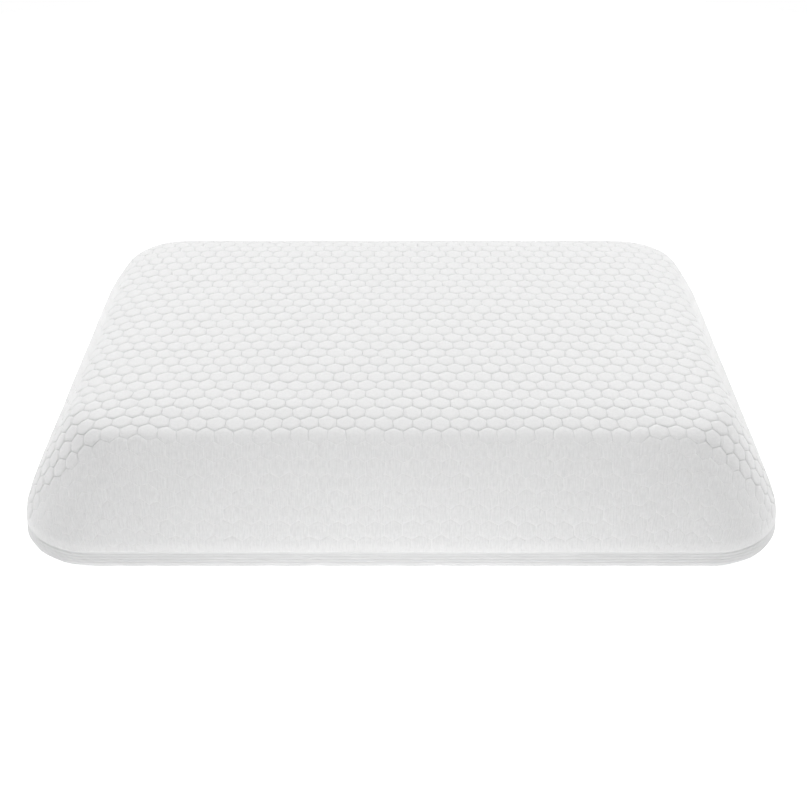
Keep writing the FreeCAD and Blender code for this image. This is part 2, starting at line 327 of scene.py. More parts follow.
def on_loaf(u, v, lift):
    """Points in space of the flat cloth's points (u, v), lifted along the surface's normal.

    The cloth's core rectangle lies on the flat top. Beyond it, distance is arc length down the side,
    and the corners' fans are gathered onto the rounded corners.
    """
    u, v, lift = np.broadcast_arrays(np.asarray(u, float), v, lift)
    reach, turn = reach_of(u, v)
    arc = np.clip(reach - FLAT_CORNER, 0, BASE_ARC)
    inset, height, out, up = (np.interp(arc, PROFILE[0], column) for column in PROFILE[1:5])
    half_x = HALF_LENGTH - END_SPREAD * inset
    half_y = HALF_WIDTH - inset
    radius = np.maximum(PLAN_CORNER - CORNER_SHRINK * inset, CORNER_MIN)
    along_y = np.maximum(half_y - radius - CORE_Y, 0)
    along_x = np.maximum(half_x - radius - CORE_X, 0)
    bend = radius * math.pi / 2
    travel = turn / (math.pi / 2) * (along_y + bend + along_x)
    angle = np.clip((travel - along_y) / radius, 0, math.pi / 2)
    corner = (np.abs(u) > CORE_X) & (np.abs(v) > CORE_Y)
    x_corner = half_x - radius + radius * np.cos(angle) - np.maximum(travel - along_y - bend, 0)
    y_corner = CORE_Y + np.minimum(travel, along_y) + radius * np.sin(angle)
    side_x = np.abs(u) - CORE_X > np.abs(v) - CORE_Y
    x = np.where(corner, x_corner, np.where(side_x, half_x, np.abs(u)))
    y = np.where(corner, y_corner, np.where(side_x, np.abs(v), half_y))
    plan_x = np.where(corner, np.cos(angle), np.where(side_x, 1.0, 0.0))
    plan_y = np.where(corner, np.sin(angle), np.where(side_x, 0.0, 1.0))
    spread = 1 + (END_SPREAD - 1) * plan_x ** 2
    normal = np.array([out * plan_x, out * plan_y, up * spread])
    normal /= np.linalg.norm(normal, axis=0)
    flat = reach < FLAT_CORNER
    x = np.where(flat, np.abs(u), x)
    y = np.where(flat, np.abs(v), y)
    edge_x = (np.abs(u) / (CORE_X + FLAT_CORNER)) ** 2
    edge_y = (np.abs(v) / (CORE_Y + FLAT_CORNER)) ** 2
    dome = TOP_DOME * np.where(flat, np.clip(1 - edge_x, 0, 1) * np.clip(1 - edge_y, 0, 1), 0)
    normal = np.where(flat, np.array([[0.0], [0.0], [1.0]]), normal.reshape(3, -1)).reshape(3, -1)
    points = np.array([x.ravel(), y.ravel(), (height + dome).ravel()]) + normal * lift.ravel()
    points[0] *= np.where(u.ravel() < 0, -1, 1)
    points[1] *= np.where(v.ravel() < 0, -1, 1)
    points[1] += CENTRE_Y
    return points.T


def ripple(u, v, wave):
    """Smooth uneven waves between -1 and 1, the same every time: any numbers do that don't repeat."""
    first = np.sin(u * 6.283 / wave + 1.3 * np.sin(v * 4.1 / wave + 0.7))
    second = np.sin(v * 5.17 / wave + 1.7 * np.sin(u * 3.3 / wave + 2.1))
    third = np.sin((u * 4.7 - v * 3.9) / wave + 0.4)
    return (first + second + third) / 3


def zip_ramp(points):
    """1 along the zip, running out to 0 at its two ends, and 0 everywhere else."""
    along = smooth((ZIP_HALF + OPENING_OVERRUN - np.abs(points[:, 0])) / OPENING_RAMP)
    return np.where(points[:, 1] > CENTRE_Y + CORE_Y, along, 0)


# ============ making meshes ============

def add_piece(name, points, faces, material, stands_for=(), cloth=None, tones=None):
    """A mesh object that rides on the pillow.

    cloth is its UV map, in metres of cloth, and tones are named values at its points.
    """
    mesh = bpy.data.meshes.new(name)
    mesh.from_pydata([tuple(point) for point in points], [], faces)
    mesh.polygons.foreach_set("use_smooth", [True] * len(mesh.polygons))
    if cloth is not None:
        corners = np.zeros(len(mesh.loops), int)
        mesh.loops.foreach_get("vertex_index", corners)
        layer = mesh.uv_layers.new(name="cloth")
        layer.data.foreach_set("uv", np.asarray(cloth, float)[corners].ravel())
    for tone, values in (tones or {}).items():
        layer = mesh.attributes.new(tone, "FLOAT", "POINT")
        layer.data.foreach_set("value", np.asarray(values, float))
    mesh.materials.append(material)
    piece = bpy.data.objects.new(name, mesh)
    bpy.context.scene.collection.objects.link(piece)
    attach(piece, "pillow")
    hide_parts(*stands_for)
    return piece


def ring_faces(rings, around, closed=True):
    """Quads between rings of points, numbered one ring after another."""
    faces = []
    last = around if closed else around - 1
    for ring in range(rings - 1):
        for step in range(last):
            here = ring * around + step
            there = ring * around + (step + 1) % around
            faces.append((here, there, there + around, here + around))
    return faces


def bar_faces(sides, length):
    """Faces of a bar closed at both ends, its points numbered one lengthwise line after another."""
    total = sides * length
    faces = []
    for face in ring_faces(sides + 1, length, closed=False):
        faces.append(tuple(corner % total for corner in face))
    faces.append(tuple(range(0, total, length)))
    faces.append(tuple(range(length - 1, total, length))[::-1])
    return faces


def joined(parts):
    """Several (points, faces) as one."""
    points = []
    faces = []
    count = 0
    for part_points, part_faces in parts:
        points.append(np.asarray(part_points, float))
        faces += [tuple(index + count for index in face) for face in part_faces]
        count += len(part_points)
    return np.concatenate(points), faces


def tube(path, radius, sides):
    """Round thread along a path of points, closed at both ends."""
    path = np.asarray(path, float)
    along = np.gradient(path, axis=0)
    along /= np.linalg.norm(along, axis=1)[:, None]
    side = np.cross(along, ASKEW)
    side /= np.linalg.norm(side, axis=1)[:, None]
    over = np.cross(along, side)
    angles = np.arange(sides) * 2 * math.pi / sides
    ring = side[:, None] * np.cos(angles)[None, :, None] + over[:, None] * np.sin(angles)[None, :, None]
    points = (path[:, None] + radius * ring).reshape(-1, 3)
    faces = ring_faces(len(path), sides)
    faces.append(tuple(range(sides))[::-1])
    faces.append(tuple(range(len(points) - sides, len(points))))
    return points, faces


def stations(step):
    """Points of the core rectangle and directions away from it, once round anticlockwise."""
    quarter = []
    for v in np.arange(0, CORE_Y, step):
        quarter.append((CORE_X, v, 0.0))
    widest_bend = PLAN_CORNER * math.pi / 2 + HALF_LENGTH + HALF_WIDTH - 2 * PLAN_CORNER - CORE_X - CORE_Y
    for turn in np.linspace(0, math.pi / 2, int(widest_bend / step), endpoint=False):
        quarter.append((CORE_X, CORE_Y, turn))
    for u in np.linspace(CORE_X, 0, int(CORE_X / step), endpoint=False):
        quarter.append((u, CORE_Y, math.pi / 2))
    first = np.array([(u, v, math.cos(turn), math.sin(turn)) for u, v, turn in quarter])
    middle = np.array([(0.0, CORE_Y, 0.0, 1.0)])
    second = first[1:][::-1] * [-1, 1, -1, 1]
    left = np.array([(-CORE_X, 0.0, -1.0, 0.0)])
    back = np.concatenate([first, middle, second, left])
    front = back[1:-1][::-1] * [1, -1, 1, -1]
    return np.concatenate([back, front])


def flat_ring(around, reach):
    """The flat cloth's points at that reach in each of the directions of around."""
    distance = flat_distance(reach, np.arctan2(np.abs(around[:, 3]), np.abs(around[:, 2])))
    return around[:, 0] + around[:, 2] * distance, around[:, 1] + around[:, 3] * distance


def shell(around, rows):
    """Closed skin of rings: rows are (reach, lift), from the top's middle to the base's middle."""
    rings = []
    for reach, lift in rows:
        rings.append(on_loaf(*flat_ring(around, reach), lift))
    return rings


def capped(rings, shares=(0.75, 0.5, 0.25)):
    """Rings with the first and last filled in towards their middles, as points and faces."""
    first = rings[0].mean(axis=0)
    last = rings[-1].mean(axis=0)
    top = [first + (rings[0] - first) * share for share in shares[::-1]]
    foot = [last + (rings[-1] - last) * share for share in shares]
    all_rings = top + list(rings) + foot
    around = len(rings[0])
    faces = [face[::-1] for face in ring_faces(len(all_rings), around)]
    points = np.concatenate(all_rings + [first[None], last[None]])
    start = (len(all_rings) - 1) * around
    for step in range(around):
        after = (step + 1) % around
        faces.append((len(points) - 2, step, after))
        faces.append((len(points) - 1, start + after, start + step))
    return points, faces


# ============ materials ============

def new_material(name, colour, roughness):
    """Material with its shader, ready for more nodes."""
    material = bpy.data.materials.new(name)
    material.use_nodes = True
    shader = material.node_tree.nodes["Principled BSDF"]
    shader.inputs["Base Color"].default_value = (*colour, 1)
    shader.inputs["Roughness"].default_value = roughness
    return material, material.node_tree, shader


def node(tree, kind, **values):
    """A shader node with its inputs or settings given by name."""
    made = tree.nodes.new(kind)
    for name, value in values.items():
        socket = name.replace("_", " ")
        if socket in made.inputs:
            made.inputs[socket].default_value = value
        else:
            setattr(made, name, value)
    return made


def cloth_place(tree, scale):
    """The cloth's own coordinates, times scale in each direction."""
    uv = node(tree, "ShaderNodeUVMap", uv_map="cloth")
    place = node(tree, "ShaderNodeMapping", vector_type="POINT")
    place.inputs["Scale"].default_value = scale
    tree.links.new(uv.outputs["UV"], place.inputs["Vector"])
    return place.outputs["Vector"]


def solid_place(tree, scale):
    """The object's own coordinates, times scale."""
    spot = node(tree, "ShaderNodeTexCoord")
    place = node(tree, "ShaderNodeMapping", vector_type="POINT")
    place.inputs["Scale"].default_value = scale
    tree.links.new(spot.outputs["Object"], place.inputs["Vector"])
    return place.outputs["Vector"]


def waves(tree, place, direction, distortion=0.0):
    """Even stripes, about one to each unit of place."""
    made = node(tree, "ShaderNodeTexWave", wave_type="BANDS", bands_direction=direction)
    made.inputs["Scale"].default_value = 1 / math.pi
    made.inputs["Distortion"].default_value = distortion
    made.inputs["Detail"].default_value = 0.0
    tree.links.new(place, made.inputs["Vector"])
    return made.outputs["Fac"]


def noise(tree, place, scale, detail=2.0):
    """Uneven specks."""
    made = node(tree, "ShaderNodeTexNoise", Scale=scale, Detail=detail)
    tree.links.new(place, made.inputs["Vector"])
    return made.outputs["Fac"]


def mixed(tree, operation, first, second):
    """Two values put together by a maths operation."""
    made = node(tree, "ShaderNodeMath", operation=operation)
    for index, value in enumerate((first, second)):
        if isinstance(value, (int, float)):
            made.inputs[index].default_value = value
        else:
            tree.links.new(value, made.inputs[index])
    return made.outputs["Value"]


def bump(tree, shader, height, distance, strength=1.0):
    """Adds a bump of that height in metres, on top of any that is there."""
    made = node(tree, "ShaderNodeBump", Strength=strength, Distance=distance)
    tree.links.new(height, made.inputs["Height"])
    if shader.inputs["Normal"].is_linked:
        tree.links.new(shader.inputs["Normal"].links[0].from_socket, made.inputs["Normal"])
    tree.links.new(made.outputs["Normal"], shader.inputs["Normal"])


def tinted(tree, shader, factor, low, high):
    """Base colour that runs from low to high with factor."""
    ramp = node(tree, "ShaderNodeValToRGB")
    ramp.color_ramp.elements[0].color = (*low, 1)
    ramp.color_ramp.elements[1].color = (*high, 1)
    tree.links.new(factor, ramp.inputs["Fac"])
    tree.links.new(ramp.outputs["Color"], shader.inputs["Base Color"])


def honeycomb_knit():
    """Puffy double knit: fine wales and courses, soft fuzz, and painted shade and light in its grooves.
    """
    material, tree, shader = new_material("honeycomb_knit", (0.86, 0.86, 0.86), 0.9)
    shader.inputs["Sheen Weight"].default_value = 0.10
    shader.inputs["Sheen Roughness"].default_value = 0.45
    shader.inputs["Specular IOR Level"].default_value = 0.25
    wales = waves(tree, cloth_place(tree, (1050, 1050, 1)), "X", 0.6)
    courses = waves(tree, cloth_place(tree, (1300, 1300, 1)), "Y", 0.8)
    bump(tree, shader, mixed(tree, "MULTIPLY", wales, courses), 0.00012, 0.7)
    streaks = noise(tree, cloth_place(tree, (520, 110, 1)), 1.0, 3.0)
    bump(tree, shader, streaks, 0.0004, 0.6)
    fuzz = noise(tree, cloth_place(tree, (1, 1, 1)), 650.0, 3.0)
    bump(tree, shader, fuzz, 0.0005, 0.6)
    patch = noise(tree, cloth_place(tree, (1, 1, 1)), 480.0, 3.0)
    # tone of the cells, carrying painted shade and painted light in the grooves and painted light on the
    # hem
    shade = node(tree, "ShaderNodeAttribute", attribute_name="shade")
    factor = mixed(tree, "ADD", mixed(tree, "MULTIPLY", patch, 0.3), shade.outputs["Fac"])
    taut = node(tree, "ShaderNodeAttribute", attribute_name="taut")
    ladders = noise(tree, cloth_place(tree, (900, 140, 1)), 1.0, 2.0)
    ladders = mixed(tree, "MULTIPLY", mixed(tree, "SUBTRACT", ladders, 0.5), 0.60)
    factor = mixed(tree, "ADD", factor, mixed(tree, "MULTIPLY", ladders, taut.outputs["Fac"]))
    tinted(tree, shader, factor, (0.62, 0.622, 0.625), (0.92, 0.92, 0.92))
    return material


def plain_knit():
    """Smooth ribbed jersey of the bottom panel, tinted darker than the quilted cloth as painted shade."""
    material, tree, shader = new_material("plain_knit", (0.86, 0.86, 0.86), 0.9)
    shader.inputs["Sheen Weight"].default_value = 0.2
    shader.inputs["Sheen Roughness"].default_value = 0.5
    shader.inputs["Specular IOR Level"].default_value = 0.25
    courses = waves(tree, cloth_place(tree, (1, 770, 1)), "Y", 0.5)
    wales = waves(tree, cloth_place(tree, (1100, 1, 1)), "X", 0.5)
    bump(tree, shader, mixed(tree, "MULTIPLY", wales, courses), 0.00014, 0.7)
    fuzz = noise(tree, solid_place(tree, (1, 1, 1)), 850.0, 3.0)
    bump(tree, shader, fuzz, 0.00015, 0.5)
    patch = noise(tree, cloth_place(tree, (60, 500, 1)), 1.0, 3.0)
    # painted shade: the whole panel is tinted darker, for the shaded strip under the seam
    tinted(tree, shader, patch, (0.72, 0.723, 0.727), (0.85, 0.85, 0.85))
    return material


def liner_jersey():
    """Thin stockinette of the inner liner."""
    material, tree, shader = new_material("liner_jersey", (0.84, 0.84, 0.83), 0.85)
    wales = waves(tree, cloth_place(tree, (800, 1, 1)), "X", 0.4)
    bump(tree, shader, wales, 0.00012, 0.8)
    patch = noise(tree, solid_place(tree, (1, 1, 1)), 60.0, 3.0)
    tinted(tree, shader, patch, (0.80, 0.80, 0.79), (0.87, 0.87, 0.86))
    return material


def open_foam():
    """Memory foam: matt, a little cream, with fine open cells."""
    material, tree, shader = new_material("foam", (0.86, 0.83, 0.74), 0.95)
    shader.inputs["Specular IOR Level"].default_value = 0.2
    cells = node(tree, "ShaderNodeTexVoronoi", Scale=700.0)
    tree.links.new(solid_place(tree, (1, 1, 1)), cells.inputs["Vector"])
    bump(tree, shader, cells.outputs["Distance"], 0.0004, 0.9)
    patch = noise(tree, solid_place(tree, (1, 1, 1)), 25.0, 4.0)
    tinted(tree, shader, patch, (0.82, 0.78, 0.67), (0.90, 0.87, 0.79))
    return material


def sewing_thread():
    """Spun polyester thread with a slight twist."""
    material, tree, shader = new_material("seam_thread", (0.88, 0.88, 0.87), 0.6)
    shader.inputs["Sheen Weight"].default_value = 0.3
    twist = noise(tree, solid_place(tree, (3000, 900, 900)), 1.0, 2.0)
    bump(tree, shader, twist, 0.00008, 0.8)
    tinted(tree, shader, twist, (0.82, 0.82, 0.81), (0.92, 0.92, 0.91))
    return material


def woven_tape():
    """Zip tape: close warp-rib weave."""
    material, tree, shader = new_material("zip_tape", (0.85, 0.85, 0.85), 0.8)
    shader.inputs["Sheen Weight"].default_value = 0.2
    warp = waves(tree, cloth_place(tree, (1, 1800, 1)), "Y")
    weft = waves(tree, cloth_place(tree, (1400, 1, 1)), "X")
    bump(tree, shader, mixed(tree, "MULTIPLY", warp, weft), 0.00015, 0.9)
    patch = noise(tree, solid_place(tree, (1, 1, 1)), 400.0, 3.0)
    tinted(tree, shader, patch, (0.80, 0.80, 0.80), (0.89, 0.89, 0.89))
    return material


def nylon_coil():
    """Nylon monofilament: smooth, a little translucent."""
    material, tree, shader = new_material("zip_teeth", (0.86, 0.87, 0.88), 0.35)
    shader.inputs["Subsurface Weight"].default_value = 0.15
    shader.inputs["Subsurface Radius"].default_value = (0.001, 0.001, 0.001)
    shader.inputs["Subsurface Scale"].default_value = 0.5
    grain = noise(tree, solid_place(tree, (300, 2500, 2500)), 1.0, 2.0)
    bump(tree, shader, grain, 0.00004, 0.6)
    tinted(tree, shader, grain, (0.83, 0.84, 0.85), (0.90, 0.90, 0.91))
    return material


def enamelled_metal():
    """White enamel on die-cast zinc, faintly pitted and worn."""
    material, tree, shader = new_material("zip_metal", (0.86, 0.86, 0.85), 0.25)
    shader.inputs["Coat Weight"].default_value = 0.6
    shader.inputs["Coat Roughness"].default_value = 0.12
    pits = noise(tree, solid_place(tree, (1, 1, 1)), 1400.0, 3.0)
    bump(tree, shader, pits, 0.00003, 0.5)
    patch = noise(tree, solid_place(tree, (1, 1, 1)), 500.0, 4.0)
    tinted(tree, shader, patch, (0.78, 0.78, 0.77), (0.90, 0.90, 0.89))
    return material


def floor_paper():
    """White studio paper, lit from behind a little so that it stays white under the pillow."""
    material, tree, shader = new_material("floor_paper", (0.9, 0.9, 0.9), 0.95)
    shader.inputs["Specular IOR Level"].default_value = 0.1
    shader.inputs["Emission Color"].default_value = (1, 1, 1, 1)
    shader.inputs["Emission Strength"].default_value = FLOOR_GLOW
    grain = noise(tree, solid_place(tree, (1, 1, 1)), 300.0, 3.0)
    bump(tree, shader, grain, 0.0001, 0.2)
    return material


# ============ cover ============

def cell_points():
    """One quilted cell about the origin: points (u, v, share of height), and faces."""
    points = []
    to_side = math.cos(math.pi / 6)
    for radius_share, height_share, roundness in CELL_RINGS:
        to_corner = 1 - roundness * (1 - to_side)
        for step in range(CELL_SIDES):
            angle = 2 * math.pi * step / CELL_SIDES
            radius = CELL_RADIUS * radius_share * (to_corner if step % 2 else to_side)
            points.append((radius * math.cos(angle), radius * math.sin(angle), height_share))
    points.append((0.0, 0.0, 1.0))
    faces = ring_faces(len(CELL_RINGS), CELL_SIDES)
    inner = CELL_SIDES * (len(CELL_RINGS) - 1)
    for step in range(CELL_SIDES):
        faces.append((inner + step, inner + (step + 1) % CELL_SIDES, len(points) - 1))
    return np.array(points), faces


def lattice():
    """Centres of all the cells that reach inside the seam, in flat cloth."""
    centres = []
    # a few more than fill the cloth, as the first row and column are off its middle
    rows = int((CORE_Y + SEAM_REACH) / ROW_PITCH) + 12
    columns = int((CORE_X + SEAM_REACH) / CELL_PITCH) + 3
    for row in range(-rows, rows + 1):
        v = FIRST_ROW + row * ROW_PITCH
        for column in range(-columns, columns + 1):
            u = FIRST_COLUMN + (column + (row % 2) / 2) * CELL_PITCH
            if reach_of(u * (1 - FAN * v), v)[0] < SEAM_REACH + CELL_RADIUS:
                centres.append((u, v))
    return np.array(centres)


def flat_quilt():
    """The whole honeycomb in flat cloth: points (u, v, share of height) and faces.

    Cells share the points of their edges, which are the first ring of each cell.
    """
    cell, cell_faces = cell_points()
    centres = lattice()
    draw = np.random.default_rng(CELL_DRAW)
    tall = 1 + CELL_VARIES * (2 * draw.random(len(centres)) - 1)
    points = np.repeat(cell[None], len(centres), axis=0)
    points[:, :, :2] += centres[:, None]
    points[:, :, 2] *= tall[:, None]
    edge_points = points[:, :CELL_SIDES].reshape(-1, 3)
    grid = (edge_points[:, :2] - [FIRST_COLUMN, FIRST_ROW]) / [CELL_PITCH / 4, CELL_RADIUS / 4]
    grid = np.round(grid).astype(int)
    _, kept, shared = np.unique(grid, axis=0, return_index=True, return_inverse=True)
    inner = len(cell) - CELL_SIDES
    numbers = np.zeros((len(centres), len(cell)), int)
    numbers[:, :CELL_SIDES] = shared.reshape(-1, CELL_SIDES)
    numbers[:, CELL_SIDES:] = len(kept) + np.arange(len(centres) * inner).reshape(-1, inner)
    faces = []
    for row in numbers.tolist():
        for face in cell_faces:
            faces.append(tuple(row[corner] for corner in face))
    points = np.concatenate([edge_points[kept], points[:, CELL_SIDES:].reshape(-1, 3)])
    u, v = points[:, 0].copy(), points[:, 1].copy()
    for amount, wave in CELL_WANDER:
        points[:, 0] += amount * ripple(u + WANDER_SHIFT[0], v, wave)
        points[:, 1] += amount * ripple(v, u + WANDER_SHIFT[1], wave)
    points[:, 0] *= 1 - FAN * points[:, 1]
    return points, faces


def trimmed(points, faces, spare):
    """Cut the cloth along the line where spare falls to 0. Also returns the cut edges."""
    points = list(points)
    cuts = {}
    kept = []
    rim = []
    inside = spare >= 0
    for face in faces:
        count = sum(inside[corner] for corner in face)
        if count == len(face):
            kept.append(face)
        if count in (0, len(face)):
            continue
        outline = []
        crossing = []
        for here, there in zip(face, face[1:] + face[:1]):
            if inside[here]:
                outline.append(here)
            if inside[here] != inside[there]:
                pair = (min(here, there), max(here, there))
                if pair not in cuts:
                    share = spare[here] / (spare[here] - spare[there])
                    cuts[pair] = len(points)
                    points.append(points[here] + share * (points[there] - points[here]))
                outline.append(cuts[pair])
                crossing.append((inside[here], cuts[pair]))
        kept.append(tuple(outline))
        leaving = next(index for was_inside, index in crossing if was_inside)
        entering = next(index for was_inside, index in crossing if not was_inside)
        rim.append((leaving, entering))
    used = sorted({corner for face in kept for corner in face})
    number = {corner: place for place, corner in enumerate(used)}
    kept = [tuple(number[corner] for corner in face) for face in kept]
    rim = [(number[leaving], number[entering]) for leaving, entering in rim]
    return np.array(points)[used], kept, rim


def tautness(u, v):
    """1 on the long sides, where the cover is pulled flat, and 0 on the top and the ends.

    The line between them runs along the brow and dips down round the corners.
    """
    reach, turn = reach_of(u, v)
    dip = TAUT_DIP * np.maximum(TAUT_FROM - turn / (math.pi / 2), 0) ** TAUT_POWER
    return smooth((reach - FLAT_CORNER - BROW_ARC - dip) / TAUT_BLEND + 0.5)


def quilt_lift(points):
    """How far each point of the quilt stands off the loaf, from its height share."""
    u, v, share = points.T
    to_seam = SEAM_REACH - reach_of(u, v)[0]
    puff = CELL_HEIGHT * (1 - (1 - WALL_SHARE) * tautness(u, v)) * smooth(to_seam / QUILT_FADE)
    hem = HEM_BULGE * smooth(1 - to_seam / HEM_WIDTH)
    return puff * share + hem + QUILT_WAVES[0] * ripple(u, v, QUILT_WAVES[1])


def quilt_tone_and_painted_shade(points):
    """Tone of each point of the quilt, with painted shade and painted light.

    Painted shade darkens the grooves on the top, less so on the ends; painted light lightens them a
    little on the long sides, and lightens the hem.
    """
    u, v, share = points.T
    reach = reach_of(u, v)[0]
    to_seam = SEAM_REACH - reach
    on_side = smooth((reach - FLAT_CORNER - BROW_ARC) / END_BLEND + 0.5)
    # painted shade in the grooves of the top and ends, painted light in those of the long sides
    puffy_painted_groove_shade = TOP_GROOVE_PAINTED_SHADE + (END_GROOVE_PAINTED_SHADE - TOP_GROOVE_PAINTED_SHADE) * on_side
    painted_groove_light_and_shade = puffy_painted_groove_shade + (WALL_GROOVE_PAINTED_LIGHT - puffy_painted_groove_shade) * tautness(u, v)
    painted_groove_mask = (1 - np.clip(share / GROOVE_SHARE, 0, 1)) * smooth(to_seam / QUILT_FADE)
    # painted light on the hem, as a band just above the seam
    hem = smooth(1 - (to_seam - HEM_WIDTH / 2) / HEM_WIDTH)
    return PLAIN_SHADE + HEM_PAINTED_LIGHT * hem + painted_groove_light_and_shade * painted_groove_mask


def squeezed(u, v, toward):
    """Cloth coordinates near the zip, drawn back from the seam by half of the opening.

    toward is -1 for the panel above the seam and 1 for the one below.
    """
    reach = reach_of(u, v)[0]
    ramp = zip_ramp(on_loaf(u, v, 0.0))
    past = smooth(1 - toward * (reach - SEAM_REACH) / OPENING_EASE)
    shift = toward * OPENING_HALF * ramp * past
    away_u, away_v = outward(u, v)
    return u + away_u * shift, v + away_v * shift


def hem_lift(u, v):
    """Unevenness of the hem, so that its fold is not ruled."""
    return HEM_WAVES[0] * ripple(u, v, HEM_WAVES[1])


def quilted_top(material):
    """Top panel: puffed honeycomb over the top and sides, its edge rolled under at the seam."""
    points, faces = flat_quilt()
    reach = reach_of(points[:, 0], points[:, 1])[0]
    points, faces, rim = trimmed(points, faces, SEAM_REACH - reach)
    u, v = points[:, 0], points[:, 1]
    lift = quilt_lift(points)
    # tone of each point, with painted shade and painted light
    shade = quilt_tone_and_painted_shade(points)
    edge = sorted({index for pair in rim for index in pair})
    numbered = {index: place for place, index in enumerate(edge)}
    away_u, away_v = outward(u[edge], v[edge])
    all_u, all_v, all_lift, all_shade = [u], [v], [lift], [shade]
    previous = {index: index for index in edge}
    count = len(points)
    for reach_past, drop in HEM_ROLL:
        all_u.append(u[edge] + away_u * reach_past)
        all_v.append(v[edge] + away_v * reach_past)
        all_lift.append(HEM_BULGE + drop + hem_lift(u[edge], v[edge]))
        all_shade.append(np.full(len(edge), PLAIN_SHADE))
        following = {index: count + numbered[index] for index in edge}
        for leaving, entering in rim:
            faces.append((previous[entering], previous[leaving], following[leaving], following[entering]))
        previous = following
        count += len(edge)
    u, v = np.concatenate(all_u), np.concatenate(all_v)
    near_u, near_v = squeezed(u, v, -1)
    places = on_loaf(near_u, near_v, np.concatenate(all_lift))
    tones = {"shade": np.concatenate(all_shade), "taut": tautness(u, v)}
    return add_piece("quilted_top", places, faces, material,
                     ["cover_top_panel"], np.array([u, v]).T, tones)


def bottom_lift(u, v, reach, corner):
    """Lift of the plain panel: step behind the quilt, tuck under the seam, ribs and faint ripples."""
    below = reach - SEAM_REACH
    step = PANEL_STEP * smooth(1 - (below - STEP_FROM) / STEP_BLEND)
    deep = TUCK_DEPTH + (TUCK_CORNER - TUCK_DEPTH) * corner
    tall = TUCK_HEIGHT + (TUCK_TALL - TUCK_HEIGHT) * corner
    tuck = deep * (1 - smooth(below / tall))
    standing = smooth(1 - (below - RIBS_FROM) / RIBS_BLEND)
    ribs = RIB_HEIGHT * np.sin(2 * math.pi * below / RIB_PITCH) * standing
    uneven = BOTTOM_WAVES[0] * ripple(u, v, BOTTOM_WAVES[1]) * standing * smooth(below / WAVES_BLEND)
    return ribs + uneven - step - tuck


def plain_bottom(material):
    """Bottom panel: from under the seam down the ribbed strip, round the edge and across the base."""
    around = stations(BOTTOM_STEP)
    low = BASE_ARC + FLAT_CORNER
    strip = np.arange(SEAM_REACH, SEAM_REACH + STRIP_HEIGHT, RIB_PITCH / STRIP_SHARE)
    reaches = np.concatenate([strip, np.linspace(strip[-1], low, BOTTOM_RINGS)[1:]])
    corner = (2 * around[:, 2] * around[:, 3]) ** CORNER_POWER
    flat_edge = on_loaf(*flat_ring(around, low), 0.0)[:, :2]
    rings = []
    cloth = []
    # the first ring starts behind the quilted panel's rolled edge
    lanes = [(SEAM_REACH + FIRST_TUCK[0], FIRST_TUCK[1])]
    lanes += [(reach, 0.0) for reach in reaches]
    for reach, extra in lanes:
        u, v = flat_ring(around, reach)
        near_u, near_v = squeezed(u, v, 1)
        lift = bottom_lift(u, v, max(reach, SEAM_REACH), corner) + extra
        ring = on_loaf(near_u, near_v, lift)
        ring[:, 2] = np.maximum(ring[:, 2], FOOT_GAP)
        rings.append(ring)
        cloth.append(flat_edge + (low - reach) * around[:, 2:])
    rim = rings[-1]
    middle = rim.mean(axis=0)
    for share in BASE_RINGS:
        rings.append(middle + (rim - middle) * share)
        cloth.append(flat_edge * share + middle[:2] * (1 - share))
    points = np.concatenate(rings + [middle[None]])
    cloth = np.concatenate(cloth + [middle[None, :2]])
    size = len(around)
    faces = [face[::-1] for face in ring_faces(len(rings), size)]
    start = (len(rings) - 1) * size
    for step in range(size):
        faces.append((len(points) - 1, start + (step + 1) % size, start + step))
    return add_piece("plain_bottom", points, faces, material,
                     ["cover_bottom_panel"], cloth)


def overlock_seam(cloth, thread):
    """Seam allowance inside the cover, all round but for the zip, wrapped in overlock thread."""
    around = stations(SEAM_STEP)
    on_ring = on_loaf(*flat_ring(around, SEAM_REACH), 0.0)
    along_zip = np.abs(on_ring[:, 0]) < ZIP_HALF + SEAM_CLEAR
    behind_zip = (on_ring[:, 1] > CENTRE_Y + CORE_Y) & along_zip
    first = int(np.flatnonzero(behind_zip)[-1]) + 1
    order = [(first + step) % len(around) for step in range(len(around) - int(behind_zip.sum()))]
    path = around[order]
    middle = (SEAM_FACE + SEAM_BACK) / 2
    half_thick = (SEAM_BACK - SEAM_FACE) / 2
    section = []
    for angle in np.linspace(0, 2 * math.pi, SEAM_SIDES, endpoint=False):
        section.append((SEAM_HALF * math.sin(angle), half_thick * math.cos(angle) - middle))
    points = []
    for offset, lift in section:
        u, v = flat_ring(path, SEAM_REACH + offset)
        points.append(on_loaf(u, v, lift + SEAM_WAVES[0] * ripple(u, v, SEAM_WAVES[1])))
    faces = [face[::-1] for face in bar_faces(len(section), len(path))]
    length = np.arange(len(path)) * SEAM_STEP
    travel = np.tile(length, len(section))
    across = np.repeat([offset for offset, _ in section], len(path))
    add_piece("overlock_seam", np.concatenate(points), faces, cloth,
              ["seam_overlock"], np.array([travel, across]).T)
    turns = np.arange(0, length[-1], OVERLOCK_PITCH / OVERLOCK_POINTS)
    phase = turns / OVERLOCK_PITCH * 2 * math.pi
    offset = (SEAM_HALF + OVERLOCK_WIDER) * np.sin(phase)
    depth = middle - (half_thick + OVERLOCK_PROUD) * np.cos(phase)
    lane = np.array([np.interp(turns, length, column) for column in path.T]).T
    lane[:, 2:] /= np.hypot(lane[:, 2], lane[:, 3])[:, None]
    loops = on_loaf(*flat_ring(lane, SEAM_REACH + offset), -depth)
    points, faces = tube(loops, OVERLOCK_THREAD, OVERLOCK_SIDES)
    add_piece("overlock_thread", points, faces, thread)


